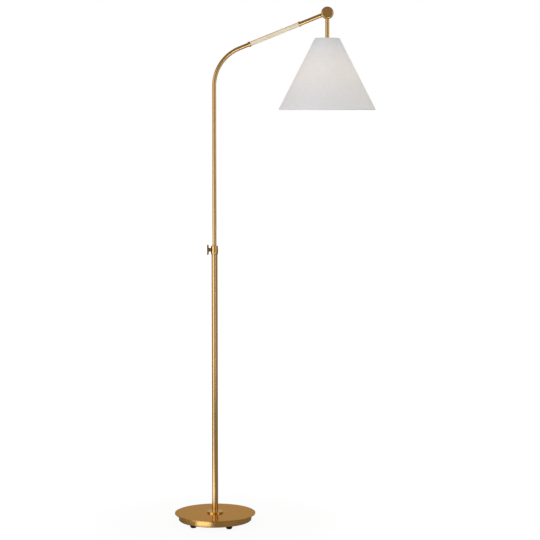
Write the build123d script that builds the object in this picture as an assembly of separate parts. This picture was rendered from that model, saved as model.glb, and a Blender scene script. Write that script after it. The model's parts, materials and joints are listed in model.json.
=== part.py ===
from build123d import *
import math
import os

# Adjustable arm floor lamp, in millimetres. The origin is on the floor under the pole's axis, +Z is up
# and the arm and shade reach out along +X. Each function makes one physical piece in its place.

# ---- base ----
FOOT_COUNT = 5
FOOT_CIRCLE_R = 96.5
FIRST_FOOT_ANGLE = -61.4
FOOT_TOP_R = 11.0
FOOT_CONTACT_R = 7.0
FOOT_RECESS_R = 4.6
DRUM_BOTTOM_Z = 10.3
DRUM_HEIGHT = 20.0
DRUM_R = 115.5
DRUM_WALL = 3.0
DRUM_BEVEL = 1.5
COVER_RECESS = 1.4
COVER_THICKNESS = 1.5
PLATE_R = 128.0
PLATE_THICKNESS = 3.0
PLATE_EDGE = 1.0
POCKET_R = 20.0
POCKET_ROOF = 4.0
FLANGE_R = 26.0
FLANGE_HEIGHT = 4.5
FLANGE_EDGE = 0.6
WEIGHT_GAP = 0.3
CHANNEL_WIDTH = 12.5
FOOT_SCREW_R = 2.0
FOOT_SCREW_TOP_Z = 22.0
FOOT_SCREW_HEAD_R = 3.9
FOOT_SCREW_HEAD_Z = (3.0, 5.4)
COVER_SCREW_COUNT = 3
COVER_SCREW_CIRCLE_R = 52.0
COVER_SCREW_HEAD = 2.2
SCREW_SLOT = 1.0
CORD_BUSH_R = 4.2
CORD_BUSH_BORE_R = 3.0
CORD_BUSH_FLANGE_R = 5.6
CORD_BUSH_FLANGE = 1.4
CORD_HOLE_Z = 20.5
WASHER_R = 14.0
WASHER_THICKNESS = 2.0
BASE_NUT_FLATS = 16.0
NUT_HEIGHT = 5.0
FOOT_PLUG_HEIGHT = 20.0
POLE_LEAD_TOP_Z = 330.0

# ---- lower pole, its collar and the clamp ----
POLE_R = 9.525
POLE_WALL = 1.5
COLLAR_BOTTOM_Z = 856.9
COLLAR_HEIGHT = 27.3
COLLAR_BOTTOM_R = 10.2
COLLAR_TOP_R = 11.1
COLLAR_MID_R = 11.65
COLLAR_WAIST = 0.3
COLLAR_EDGE = 1.2
COLLAR_LIP = 1.4
POLE_SOCKET_DEPTH = 8.5
BUSH_R = 8.6
CLAMP_Z = 871.3
SCREW_R = 2.97
KNOB_R = 16.2
KNOB_OUTER_X = -23.3
KNOB_THICKNESS = 4.9
KNOB_EDGE = 1.6
KNOB_FACE = 2.0
KNOB_HUB_R = 6.1
KNOB_HUB_INNER_X = -13.4
BOSS_R = 6.1
BOSS_OUTER_X = -13.1
PAD_THICKNESS = 2.4
PAD_WINDOW = 0.35

# ---- mast: upright, bend and arm in one tube ----
MAST_R = 6.35
MAST_WALL = 1.2
TRAVEL_UP = 75.0
GUIDE_LENGTH = 40.0
CLIP_THICKNESS = 0.9
CLIP_GROOVE = 0.35
CLIP_PROUD = 1.05
LEAD_BUSH_LIP = 1.5
LEAD_BUSH_LENGTH = 8.0
CORNER_Z = 1469.5
BEND_R = 126.6
ARM_ANGLE = 21.8
ARM_LENGTH = 380.0
LOWER_FERRULE = (115.3, 7.5, 8.4)
UPPER_FERRULE = (284.0, 6.0, 8.15)
FERRULE_EDGE = 1.0
SLEEVE_R = 7.05

# ---- hinge at the arm's end ----
DISC_R = 19.5
DISC_HALF_THICKNESS = 11.0
DISC_ROUNDING = 4.9
HALF_GAP = 0.4
SADDLE_R = 19.9
CAVITY_INNER_R = 6.5
CAVITY_OUTER_R = 13.0
CAVITY_DEPTH = 6.0
PLUG_LENGTH = 25.0
WIRE_BORE_R = 2.7
LEAD_R = 2.3
SCREW_SHANK_R = 3.0
SCREW_HEAD_R = 5.0
SCREW_HEAD_HEIGHT = 3.6
COUNTERBORE_R = 5.5
COUNTERBORE_FLOOR = 5.4
SPRING_WASHER = 0.9
FRICTION_WASHER_R = 18.0

# ---- head, with heights counted down from the hinge's centre ----
STEM_LENGTH = 88.0
SHADE_TOP = -77.0
SHADE_HEIGHT = 222.8
SHADE_TOP_R = 38.0
SHADE_BOTTOM_R = 152.0
SHADE_WALL = 1.0
WIRE_R = 1.6
SPOKE_COUNT = 3
SPIDER_HUB_R = 13.0
SPIDER_THICKNESS = 1.6
SPIDER_NUT_FLATS = 15.0
SPIDER_NUT_HEIGHT = 4.0
RING_FROM_EDGE = 2.2
NIPPLE_R = 5.13
NIPPLE_BORE_R = 3.2
CAP_TOP = -95.0
CAP_R = 17.0
CAP_SKIRT_BOTTOM = -112.5
CAP_WALL = 0.8
CAP_NECK_R = 7.0
CAP_NECK_HEIGHT = 3.0
CAP_DOME_R = 10.0
SHELL_R = 16.1
SHELL_WALL = 0.6
SHELL_BEAD = 0.9
SHELL_BOTTOM = -150.0
LINER_R = 15.3
LINER_WALL = 0.6
BLOCK_R = 14.5
BLOCK_BOTTOM = -125.0
TERMINAL_R = 1.8
TERMINAL_PLACE = (9.5, 3.0)
SCREW_SHELL_R = 14.0
SCREW_SHELL_TOP = -126.0
SCREW_SHELL_WALL = 0.5
CONTACT_HOLE_R = 4.8
CONTACT_R = 4.0
SWITCH_Z = -118.5
SWITCH_SHAFT_R = 2.5
SWITCH_HOLE_GAP = 0.6
SWITCH_HUB_R = 4.5
PADDLE_SIZE = (4.0, 15.0, 11.0)
PADDLE_CORNER = 1.4
PADDLE_EDGE = 0.8
THREAD_TURNS = 5
THREAD_PITCH = 3.63
THREAD_CREST_R = 13.1
THREAD_ROOT_R = 12.3
BULB_CAP_TOP = -128.5
BULB_R = 30.0
BULB_CENTRE_Z = -202.0
BULB_NECK_R = 12.9
BULB_WALL = 1.0
BULB_SHOULDER_ANGLE = 32.0

# ---- fits ----
RUNNING = 0.08
SNUG = 0.025
TOUCH_GAP = 0.02

# ---- worked out from the values above ----
PLATE_BOTTOM_Z = DRUM_BOTTOM_Z + DRUM_HEIGHT
PLATE_TOP_Z = PLATE_BOTTOM_Z + PLATE_THICKNESS
COVER_BOTTOM_Z = DRUM_BOTTOM_Z + COVER_RECESS
COVER_TOP_Z = COVER_BOTTOM_Z + COVER_THICKNESS
POCKET_TOP_Z = PLATE_BOTTOM_Z - POCKET_ROOF
POLE_BORE_R = POLE_R - POLE_WALL
POLE_TOP_Z = COLLAR_BOTTOM_Z + POLE_SOCKET_DEPTH
COLLAR_TOP_Z = COLLAR_BOTTOM_Z + COLLAR_HEIGHT
BUSH_TOP_Z = COLLAR_TOP_Z - COLLAR_LIP
PAD_INNER_X = -(MAST_R + RUNNING)
MAST_BORE_R = MAST_R - MAST_WALL
STOP_GAP = 1.0
GUIDE_TOP_Z = POLE_TOP_Z - TRAVEL_UP - STOP_GAP - CLIP_THICKNESS
GUIDE_BOTTOM_Z = GUIDE_TOP_Z - GUIDE_LENGTH
MAST_FOOT_Z = GUIDE_BOTTOM_Z - CLIP_THICKNESS - 2.0
HINGE_X = ARM_LENGTH * math.cos(math.radians(ARM_ANGLE))
HINGE_Z = CORNER_Z + ARM_LENGTH * math.sin(math.radians(ARM_ANGLE))
SHADE_BOTTOM = SHADE_TOP - SHADE_HEIGHT
SHADE_SLOPE = (SHADE_BOTTOM_R - SHADE_TOP_R) / SHADE_HEIGHT
SHADE_COSINE = 1 / math.hypot(1, SHADE_SLOPE)
TOP_RING_Z = SHADE_TOP - RING_FROM_EDGE
BOTTOM_RING_Z = SHADE_BOTTOM + RING_FROM_EDGE
RING_INSET = (SHADE_WALL + WIRE_R + 0.1) / SHADE_COSINE


# ---- helpers ----
def turned(points):
    """A solid of revolution about Z from a closed outline of (radius, height) points."""
    outline = Polyline(*[(r, 0, z) for r, z in points], close=True)
    return revolve(make_face(outline), Axis.Z)


def disc(radius, low, high):
    """A plain disc or rod about Z between two heights."""
    return Pos(0, 0, low) * Cylinder(radius, high - low, align=(Align.CENTER, Align.CENTER, Align.MIN))


def ring(outer, inner, low, high):
    """A washer or tube about Z between two heights."""
    return disc(outer, low, high) - disc(inner, low - 1, high + 1)


def hex_nut(across_flats, bore, low, high):
    """A hexagonal nut about Z with chamfered corners and a plain bore."""
    height = high - low
    blank = extrude(RegularPolygon(across_flats / 2, 6, major_radius=False), height)
    corner_r = across_flats / 2 / math.cos(math.pi / 6)
    chamfered = turned(
        [
            (0, 0),
            (across_flats / 2, 0),
            (corner_r, height * 0.15),
            (corner_r, height * 0.85),
            (across_flats / 2, height),
            (0, height),
        ]
    )
    return Pos(0, 0, low) * ((blank & chamfered) - disc(bore, -1, height + 1))


def around(count, first_angle, radius, piece):
    """Copies of a piece spaced evenly round the Z axis, as separate solids."""
    places = [Rot(0, 0, first_angle + 360 / count * i) * Pos(radius, 0, 0) for i in range(count)]
    return Compound(children=[place * piece for place in places])


def on_x(piece):
    """Turns a piece made about +Z so that its axis lies along +X, at the clamp's height."""
    return Pos(0, 0, CLAMP_Z) * Rot(0, 90, 0) * piece


def on_arm(piece):
    """Puts a piece made about +Z on the arm, with its heights as distances from the arm's corner."""
    return Pos(0, 0, CORNER_Z) * Rot(0, 90 - ARM_ANGLE, 0) * piece


def at_hinge(piece):
    """Puts a piece made about the hinge's centre in its place."""
    return Pos(HINGE_X, 0, HINGE_Z) * piece


def facing_back(piece):
    """Turns a piece made about +Z so that its axis lies along +Y, away from the front."""
    return Rot(-90, 0, 0) * piece


def shade_radius(height):
    """The shade's outer radius at a height counted from the hinge."""
    return SHADE_TOP_R + (SHADE_TOP - height) * SHADE_SLOPE


# ---- base ----
def base_plate():
    """The wide top plate, with a softly rounded edge and the nipple's hole."""
    plate = ring(PLATE_R, NIPPLE_R + SNUG, PLATE_BOTTOM_Z, PLATE_TOP_Z)
    rim = plate.edges().filter_by(GeomType.CIRCLE).sort_by(lambda edge: edge.radius)[-2:]
    return fillet(rim, PLATE_EDGE)


def base_drum():
    """The turned side wall under the plate, with a bevel at its foot and a hole for the cord's bush."""
    wall = turned(
        [
            (DRUM_R - DRUM_WALL, DRUM_BOTTOM_Z),
            (DRUM_R - DRUM_BEVEL, DRUM_BOTTOM_Z),
            (DRUM_R, DRUM_BOTTOM_Z + DRUM_BEVEL),
            (DRUM_R, PLATE_BOTTOM_Z),
            (DRUM_R - DRUM_WALL, PLATE_BOTTOM_Z),
        ]
    )
    return wall - cord_hole(CORD_BUSH_R + SNUG)


def cord_hole(radius):
    """A rod along +Y through the drum's back wall."""
    return Pos(0, DRUM_R - 2 * DRUM_WALL, CORD_HOLE_Z) * facing_back(disc(radius, 0, 5 * DRUM_WALL))


def cord_bush():
    """The rubber bush that lines the cord's way in through the drum's back wall."""
    inner_face = DRUM_R - DRUM_WALL - CORD_BUSH_FLANGE
    length = DRUM_WALL + 2 * CORD_BUSH_FLANGE
    barrel = disc(CORD_BUSH_R, 0, length)
    inner_flange = disc(CORD_BUSH_FLANGE_R, 0, CORD_BUSH_FLANGE)
    outer_flange = disc(CORD_BUSH_FLANGE_R, length - CORD_BUSH_FLANGE, length)
    body = barrel + inner_flange + outer_flange - disc(CORD_BUSH_BORE_R, -1, length + 1)
    placed = Pos(0, inner_face, CORD_HOLE_Z) * facing_back(body)
    inside_wall = disc(DRUM_R - DRUM_WALL, 0, PLATE_TOP_Z)
    outside_wall = ring(2 * DRUM_R, DRUM_R, 0, PLATE_TOP_Z)
    in_hole = cord_hole(CORD_BUSH_R)
    return placed & (inside_wall + outside_wall + in_hole)


def base_weight():
    """The cast iron disc inside the drum, with a pocket for the nut and a channel for the cord."""
    outer = DRUM_R - DRUM_WALL - WEIGHT_GAP
    weight = disc(outer, COVER_TOP_Z, PLATE_BOTTOM_Z)
    pocket = disc(POCKET_R, COVER_TOP_Z - 1, POCKET_TOP_Z)
    channel = Pos(0, 0, COVER_TOP_Z - 1) * Box(
        CHANNEL_WIDTH,
        DRUM_R,
        POCKET_TOP_Z - COVER_TOP_Z + 1,
        align=(Align.CENTER, Align.MIN, Align.MIN),
    )
    weight -= pocket + channel
    weight -= disc(NIPPLE_R + WEIGHT_GAP, 0, PLATE_TOP_Z)
    return drilled_for_screws(weight, FOOT_SCREW_R)


def drilled_for_screws(piece, radius):
    """A piece less the holes for the feet's screws and the cover's screws."""
    rod = disc(radius, 0, FOOT_SCREW_TOP_Z)
    piece -= around(FOOT_COUNT, FIRST_FOOT_ANGLE, FOOT_CIRCLE_R, rod)
    return piece - around(COVER_SCREW_COUNT, 0, COVER_SCREW_CIRCLE_R, rod)


def bottom_cover():
    """The sheet steel disc that closes the drum from below, drilled for its screws and the feet's."""
    cover = disc(DRUM_R - DRUM_WALL - WEIGHT_GAP, COVER_BOTTOM_Z, COVER_TOP_Z)
    return drilled_for_screws(cover, FOOT_SCREW_R + SNUG)


def cover_screws():
    """The pan head screws that hold the cover to the weight."""
    shank = disc(FOOT_SCREW_R - SNUG, COVER_BOTTOM_Z - 1, FOOT_SCREW_TOP_Z - 1)
    head = disc(FOOT_SCREW_HEAD_R, COVER_BOTTOM_Z - COVER_SCREW_HEAD, COVER_BOTTOM_Z)
    slot = Box(2 * FOOT_SCREW_HEAD_R, SCREW_SLOT, COVER_SCREW_HEAD)
    slot = Pos(0, 0, COVER_BOTTOM_Z - COVER_SCREW_HEAD) * slot
    return around(COVER_SCREW_COUNT, 0, COVER_SCREW_CIRCLE_R, shank + head - slot)


def rubber_feet():
    """The tapered rubber feet, each with a recess for its screw."""
    recess_top = FOOT_SCREW_HEAD_Z[1]
    foot = turned(
        [
            (FOOT_RECESS_R, 0),
            (FOOT_CONTACT_R, 0),
            (FOOT_CONTACT_R + 1.6, 0.9),
            (FOOT_TOP_R - 1.2, DRUM_BOTTOM_Z * 0.35),
            (FOOT_TOP_R, DRUM_BOTTOM_Z * 0.7),
            (FOOT_TOP_R, COVER_BOTTOM_Z),
            (FOOT_SCREW_R + SNUG, COVER_BOTTOM_Z),
            (FOOT_SCREW_R + SNUG, recess_top),
            (FOOT_RECESS_R, recess_top),
        ]
    )
    return around(FOOT_COUNT, FIRST_FOOT_ANGLE, FOOT_CIRCLE_R, foot)


def foot_screws():
    """The screws that hold the feet to the weight, with their heads up inside the feet."""
    low, high = FOOT_SCREW_HEAD_Z
    shank = disc(FOOT_SCREW_R - SNUG, high - 1, FOOT_SCREW_TOP_Z - 1)
    head = disc(FOOT_SCREW_HEAD_R, low, high)
    slot = Pos(0, 0, low) * Box(2 * FOOT_SCREW_HEAD_R, SCREW_SLOT, high - low)
    return around(FOOT_COUNT, FIRST_FOOT_ANGLE, FOOT_CIRCLE_R, shank + head - slot)


def base_flange():
    """The polished ring round the pole's foot."""
    flange = ring(FLANGE_R, POLE_R + SNUG, PLATE_TOP_Z, PLATE_TOP_Z + FLANGE_HEIGHT)
    top_circles = flange.edges().filter_by(GeomType.CIRCLE).group_by(Axis.Z)[-1]
    outer_circle = top_circles.sort_by(lambda edge: edge.radius)[-1]
    return fillet(outer_circle, FLANGE_EDGE)


def nipple():
    """The hollow threaded rod that pulls the pole down on to the base."""
    bottom = POCKET_TOP_Z - WASHER_THICKNESS - NUT_HEIGHT - 1
    return ring(NIPPLE_R, NIPPLE_BORE_R, bottom, PLATE_TOP_Z + FOOT_PLUG_HEIGHT - 4)


def base_washer():
    """The wide washer between the nut and the weight."""
    return ring(WASHER_R, NIPPLE_R + SNUG, POCKET_TOP_Z - WASHER_THICKNESS, POCKET_TOP_Z)


def base_nut():
    """The hexagonal nut on the nipple, inside the weight's pocket."""
    top = POCKET_TOP_Z - WASHER_THICKNESS
    return hex_nut(BASE_NUT_FLATS, NIPPLE_R + SNUG, top - NUT_HEIGHT, top)


# ---- lower pole ----
def pole_foot_plug():
    """The tapped plug fixed in the pole's lower end."""
    return ring(POLE_BORE_R - SNUG, NIPPLE_R + SNUG, PLATE_TOP_Z, PLATE_TOP_Z + FOOT_PLUG_HEIGHT)


def lower_pole():
    """The larger tube, from the base plate up into the collar."""
    return ring(POLE_R, POLE_BORE_R, PLATE_TOP_Z, POLE_TOP_Z)


def pole_lead():
    """The flat-lying part of the lead inside the lower pole, below the mast's lowest travel."""
    return disc(LEAD_R, POCKET_TOP_Z - WASHER_THICKNESS - NUT_HEIGHT, POLE_LEAD_TOP_Z)


# ---- collar and clamp ----
def height_collar():
    """The barrel shaped collar at the pole's top, bored for pole, bush and mast, with the clamp's boss."""
    waist_z = COLLAR_BOTTOM_Z + COLLAR_WAIST * COLLAR_HEIGHT
    foot = (COLLAR_BOTTOM_R, 0, COLLAR_BOTTOM_Z)
    waist = (COLLAR_MID_R, 0, waist_z)
    shoulder = (COLLAR_TOP_R, 0, COLLAR_TOP_Z - COLLAR_EDGE)
    side = Spline(foot, waist, shoulder, tangents=[(0.55, 0, 1), (-0.06, 0, 1)])
    crown = ThreePointArc(
        shoulder,
        (COLLAR_TOP_R - 0.3 * COLLAR_EDGE, 0, COLLAR_TOP_Z - 0.3 * COLLAR_EDGE),
        (COLLAR_TOP_R - COLLAR_EDGE, 0, COLLAR_TOP_Z),
    )
    lid = Polyline(
        (COLLAR_TOP_R - COLLAR_EDGE, 0, COLLAR_TOP_Z),
        (0, 0, COLLAR_TOP_Z),
        (0, 0, COLLAR_BOTTOM_Z),
        foot,
    )
    barrel = revolve(make_face(side + crown + lid), Axis.Z)
    boss = on_x(disc(BOSS_R, BOSS_OUTER_X, 0))
    bores = disc(POLE_R + SNUG, COLLAR_BOTTOM_Z - 1, POLE_TOP_Z)
    bores += disc(BUSH_R + SNUG, POLE_TOP_Z - 1, BUSH_TOP_Z)
    bores += disc(MAST_R + 0.3, COLLAR_BOTTOM_Z, COLLAR_TOP_Z + 1)
    thread = on_x(disc(SCREW_R + SNUG + 0.02, 2 * BOSS_OUTER_X, 0))
    return barrel + boss - bores - thread


def collar_bush():
    """The nylon bush that guides the mast in the collar, with a window for the clamp's pad."""
    bush = ring(BUSH_R, MAST_R + RUNNING, POLE_TOP_Z, BUSH_TOP_Z)
    return bush - on_x(disc(SCREW_R + PAD_WINDOW, 2 * BOSS_OUTER_X, 0))


def clamp_pad():
    """The small pad that the clamp's screw presses on the mast."""
    return on_x(disc(SCREW_R - 0.05, PAD_INNER_X - PAD_THICKNESS, PAD_INNER_X))


def clamp_screw():
    """The threaded stud in the knob, ending on the pad."""
    return on_x(disc(SCREW_R, KNOB_OUTER_X + KNOB_FACE, PAD_INNER_X - PAD_THICKNESS - TOUCH_GAP))


def clamp_knob():
    """The thin round knob and its hub, bored for the stud."""
    corner = 0.3 * KNOB_EDGE
    inner_x = KNOB_OUTER_X + KNOB_THICKNESS
    outline = [
        (0, KNOB_OUTER_X),
        (KNOB_R - KNOB_EDGE, KNOB_OUTER_X),
        (KNOB_R - corner, KNOB_OUTER_X + corner),
        (KNOB_R, KNOB_OUTER_X + KNOB_EDGE),
        (KNOB_R, inner_x - KNOB_EDGE),
        (KNOB_R - corner, inner_x - corner),
        (KNOB_R - KNOB_EDGE, inner_x),
        (KNOB_HUB_R, inner_x),
        (KNOB_HUB_R - 0.4, KNOB_HUB_INNER_X),
        (0, KNOB_HUB_INNER_X),
    ]
    stud_hole = disc(SCREW_R + SNUG, KNOB_OUTER_X + KNOB_FACE, 0)
    return on_x(turned(outline) - stud_hole)


# ---- mast ----
def guide_bush():
    """The nylon bush that slides in the pole and carries the mast's lower end."""
    return ring(POLE_BORE_R - RUNNING, MAST_R + RUNNING, GUIDE_BOTTOM_Z, GUIDE_TOP_Z)


def clip_at(low):
    """One spring ring in its groove on the mast."""
    return ring(MAST_R + CLIP_PROUD, MAST_R - CLIP_GROOVE, low, low + CLIP_THICKNESS)


def guide_clips():
    """The two spring rings that hold the guide bush on the mast."""
    return Compound(children=[clip_at(z + side) for z, side in clip_places()])


def clip_places():
    """Each clip's lower face, with the small running gap that leaves the bush free to turn."""
    return [(GUIDE_BOTTOM_Z - CLIP_THICKNESS, -TOUCH_GAP), (GUIDE_TOP_Z, TOUCH_GAP)]


def arm_path(end):
    """The mast's centre line: up the pole, round the bend and out along the arm."""
    direction = (math.cos(math.radians(ARM_ANGLE)), math.sin(math.radians(ARM_ANGLE)))
    tip = (direction[0] * end, 0, CORNER_Z + direction[1] * end)
    return FilletPolyline((0, 0, MAST_FOOT_Z), (0, 0, CORNER_Z), tip, radius=BEND_R)


def mast_tube():
    """The bent tube: upright, bend and arm, cut at its tip to fit round the hinge disc."""
    section = Plane.XY.offset(MAST_FOOT_Z) * (Circle(MAST_R) - Circle(MAST_BORE_R))
    tube = sweep(section, path=arm_path(ARM_LENGTH - SADDLE_R + MAST_R))
    tube -= at_hinge(facing_back(disc(SADDLE_R, -2 * MAST_R, 2 * MAST_R)))
    for z, side in clip_places():
        tube -= ring(MAST_R + 1, MAST_R - CLIP_GROOVE, z + side, z + side + CLIP_THICKNESS)
    return tube


def lead_bush():
    """The plastic bush that keeps the tube's lower edge off the lead."""
    outline = [
        (LEAD_R + 0.3, MAST_FOOT_Z - LEAD_BUSH_LIP),
        (MAST_R - 0.1, MAST_FOOT_Z - LEAD_BUSH_LIP),
        (MAST_R - 0.1, MAST_FOOT_Z),
        (MAST_BORE_R - SNUG, MAST_FOOT_Z),
        (MAST_BORE_R - SNUG, MAST_FOOT_Z + LEAD_BUSH_LENGTH),
        (LEAD_R + 0.3, MAST_FOOT_Z + LEAD_BUSH_LENGTH),
    ]
    return turned(outline)


def mast_lead():
    """The lead inside the mast, from its lower end to the hinge."""
    section = Plane.XY.offset(MAST_FOOT_Z) * Circle(LEAD_R)
    return sweep(section, path=arm_path(ARM_LENGTH - SADDLE_R - 2))


def ferrule(start, length, radius):
    """A turned ring on the arm with rounded edges."""
    end = start + length
    corner = 0.3 * FERRULE_EDGE
    outline = [
        (MAST_R + SNUG, start),
        (radius - FERRULE_EDGE, start),
        (radius - corner, start + corner),
        (radius, start + FERRULE_EDGE),
        (radius, end - FERRULE_EDGE),
        (radius - corner, end - corner),
        (radius - FERRULE_EDGE, end),
        (MAST_R + SNUG, end),
    ]
    return on_arm(turned(outline))


def leather_sleeve():
    """The leather wrapped round the arm between the ferrules."""
    start = LOWER_FERRULE[0] + LOWER_FERRULE[1]
    return on_arm(ring(SLEEVE_R, MAST_R + SNUG, start, UPPER_FERRULE[0]))


# ---- hinge ----
def hinge_half(bore, plug_turn):
    """One half of the hinge disc, made on the +Z side about Z: a rounded cap with a ring-shaped wiring
    cavity and a hub, and a plug that reaches sideways into its tube."""
    cap = disc(DISC_R, HALF_GAP, DISC_HALF_THICKNESS)
    rim = cap.edges().filter_by(GeomType.CIRCLE).sort_by(Axis.Z)[-1]
    cap = fillet(rim, DISC_ROUNDING)
    plug = Rot(0, 90, 0) * disc(MAST_BORE_R - SNUG, DISC_R - 4, SADDLE_R + PLUG_LENGTH)
    plug -= disc(SADDLE_R, -2 * MAST_R, HALF_GAP)
    half = cap + Rot(0, 0, plug_turn) * plug
    half -= ring(CAVITY_OUTER_R, CAVITY_INNER_R, HALF_GAP - 1, HALF_GAP + CAVITY_DEPTH)
    half -= disc(bore, -1, DISC_HALF_THICKNESS - 2)
    wire_bore = Rot(0, 90, 0) * disc(WIRE_BORE_R, CAVITY_INNER_R + 2, SADDLE_R + PLUG_LENGTH + 1)
    return half - Rot(0, 0, plug_turn) * wire_bore


def knuckle_rear():
    """The rear half of the hinge disc, fixed in the arm's end, counterbored for the screw's head."""
    half = hinge_half(SCREW_SHANK_R + RUNNING, 0)
    half -= disc(COUNTERBORE_R, COUNTERBORE_FLOOR, DISC_HALF_THICKNESS + 1)
    towards_arm = Rot(0, 180 - ARM_ANGLE, 0)
    return at_hinge(towards_arm * facing_back(half))


def knuckle_front():
    """The front half of the hinge disc, fixed on the stem and tapped for the screw."""
    half = hinge_half(SCREW_SHANK_R + SNUG, 0)
    towards_floor = Rot(0, 90, 0)
    return at_hinge(towards_floor * Rot(90, 0, 0) * half)


def friction_washer():
    """The fibre ring between the halves, which holds the head where it is set."""
    washer = ring(FRICTION_WASHER_R, CAVITY_OUTER_R + 0.5, -HALF_GAP + TOUCH_GAP, HALF_GAP)
    return at_hinge(facing_back(washer))


def spring_washer():
    """The sprung washer under the screw's head."""
    low = COUNTERBORE_FLOOR + TOUCH_GAP
    outline = [
        (SCREW_SHANK_R + RUNNING, low),
        (COUNTERBORE_R - 0.5, low + 0.3),
        (COUNTERBORE_R - 0.5, low + 0.6),
        (SCREW_SHANK_R + RUNNING, low + SPRING_WASHER),
    ]
    return at_hinge(facing_back(turned(outline)))


def hinge_screw():
    """The socket head screw that is the hinge's pin, from the rear half into the front half."""
    seat = COUNTERBORE_FLOOR + TOUCH_GAP + SPRING_WASHER
    shank = disc(SCREW_SHANK_R, -(DISC_HALF_THICKNESS - 2.5), seat + 1)
    head = disc(SCREW_HEAD_R, seat, seat + SCREW_HEAD_HEIGHT)
    hexagon = RegularPolygon(2, 6, major_radius=False)
    socket = Pos(0, 0, seat + SCREW_HEAD_HEIGHT - 2) * extrude(hexagon, 3)
    return at_hinge(facing_back(shank + head - socket))


def hinge_cap():
    """The thin disc that closes the counterbore over the screw's head."""
    low = COUNTERBORE_FLOOR + TOUCH_GAP + SPRING_WASHER + SCREW_HEAD_HEIGHT + 0.2
    return at_hinge(facing_back(disc(COUNTERBORE_R - SNUG, low, DISC_HALF_THICKNESS)))


# ---- stem and shade ----
def stem_tube():
    """The short tube from the hinge down into the shade, cut at its top to fit round the disc."""
    tube = ring(MAST_R, MAST_BORE_R, -STEM_LENGTH, 0)
    return at_hinge(tube - facing_back(disc(SADDLE_R, -2 * MAST_R, 2 * MAST_R)))


def stem_nipple():
    """The hollow threaded rod that carries the shade's spider and the socket on the stem."""
    return at_hinge(ring(NIPPLE_R, NIPPLE_BORE_R, CAP_TOP - 6.0, -STEM_LENGTH + 10.0))


def stem_lead():
    """The lead inside the stem, from the hinge to the socket."""
    return at_hinge(disc(LEAD_R, CAP_TOP - 8.0, -SADDLE_R - 2))


def wire_ring(height, wire):
    """A wire ring lying just inside the shade's wall."""
    return Pos(0, 0, height) * Torus(shade_radius(height) - RING_INSET, wire)


def shade_spider():
    """The hub that sits on the nipple, with spokes of wire up to the shade's top ring."""
    hub_low = -STEM_LENGTH - SPIDER_THICKNESS
    hub = ring(SPIDER_HUB_R, NIPPLE_R + SNUG, hub_low, -STEM_LENGTH)
    inner = Vector(SPIDER_HUB_R - 2, 0, hub_low + SPIDER_THICKNESS / 2)
    outer = Vector(shade_radius(TOP_RING_Z) - RING_INSET, 0, TOP_RING_Z)
    run = outer - inner
    spoke = Plane(origin=inner, z_dir=run) * disc(WIRE_R - 0.2, 0, run.length)
    spokes = [Rot(0, 0, 90 + 360 / SPOKE_COUNT * i) * spoke for i in range(SPOKE_COUNT)]
    spider = hub
    for one in spokes:
        spider += one
    return at_hinge(spider - wire_ring(TOP_RING_Z, WIRE_R + 0.01) - disc(NIPPLE_R + SNUG, CAP_TOP, 0))


def spider_nut():
    """The thin nut that clamps the spider's hub up against the stem."""
    top = -STEM_LENGTH - SPIDER_THICKNESS
    return at_hinge(hex_nut(SPIDER_NUT_FLATS, NIPPLE_R + SNUG, top - SPIDER_NUT_HEIGHT, top))


def shade_cover():
    """The shade's cone: linen on a stiff backing, open above and below."""
    inset = SHADE_WALL / SHADE_COSINE
    outline = [
        (SHADE_TOP_R, SHADE_TOP),
        (SHADE_BOTTOM_R, SHADE_BOTTOM),
        (SHADE_BOTTOM_R - inset, SHADE_BOTTOM),
        (SHADE_TOP_R - inset, SHADE_TOP),
    ]
    return at_hinge(turned(outline))


# ---- socket, switch and bulb ----
def switch_bore(radius):
    """A rod along -Y through the socket's side, on the switch's axis."""
    return Pos(0, 0, SWITCH_Z) * Rot(90, 0, 0) * disc(radius, 0, 2 * CAP_R)


def socket_cap():
    """The domed metal cap at the socket's top, screwed on the nipple."""
    shoulder_z = CAP_TOP - CAP_NECK_HEIGHT
    centre_r = CAP_R - CAP_DOME_R
    centre_z = shoulder_z - CAP_DOME_R
    bore = NIPPLE_R + SNUG
    outer_top, outer_mid, outer_low = quarter_points(centre_r, centre_z, CAP_DOME_R)
    inner_top, inner_mid, inner_low = quarter_points(centre_r, centre_z, CAP_DOME_R - CAP_WALL)
    neck = [(bore, 0, shoulder_z - CAP_WALL), (bore, 0, CAP_TOP), (CAP_NECK_R, 0, CAP_TOP)]
    skirt = [(CAP_R, 0, CAP_SKIRT_BOTTOM), (CAP_R - CAP_WALL, 0, CAP_SKIRT_BOTTOM)]
    outline = Polyline(inner_top, *neck, outer_top)
    outline += ThreePointArc(outer_top, outer_mid, outer_low)
    outline += Polyline(outer_low, *skirt, inner_low)
    outline += ThreePointArc(inner_low, inner_mid, inner_top)
    return at_hinge(revolve(make_face(outline), Axis.Z))


def quarter_points(centre_r, centre_z, radius):
    """The top, middle and outermost points of a quarter circle in the XZ plane."""
    diagonal = radius * math.cos(math.pi / 4)
    top = (centre_r, 0, centre_z + radius)
    middle = (centre_r + diagonal, 0, centre_z + diagonal)
    side = (centre_r + radius, 0, centre_z)
    return top, middle, side


def socket_shell():
    """The socket's metal shell, with a bead at its mouth and a hole for the switch."""
    inner = SHELL_R - SHELL_WALL
    outline = [
        (inner, CAP_SKIRT_BOTTOM + 3.0),
        (SHELL_R, CAP_SKIRT_BOTTOM + 3.0),
        (SHELL_R, SHELL_BOTTOM + 4.0),
        (SHELL_R + SHELL_BEAD, SHELL_BOTTOM + 3.0),
        (SHELL_R + SHELL_BEAD, SHELL_BOTTOM + 1.0),
        (SHELL_R, SHELL_BOTTOM),
        (inner, SHELL_BOTTOM),
    ]
    return at_hinge(turned(outline) - switch_bore(SWITCH_SHAFT_R + SWITCH_HOLE_GAP))


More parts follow.
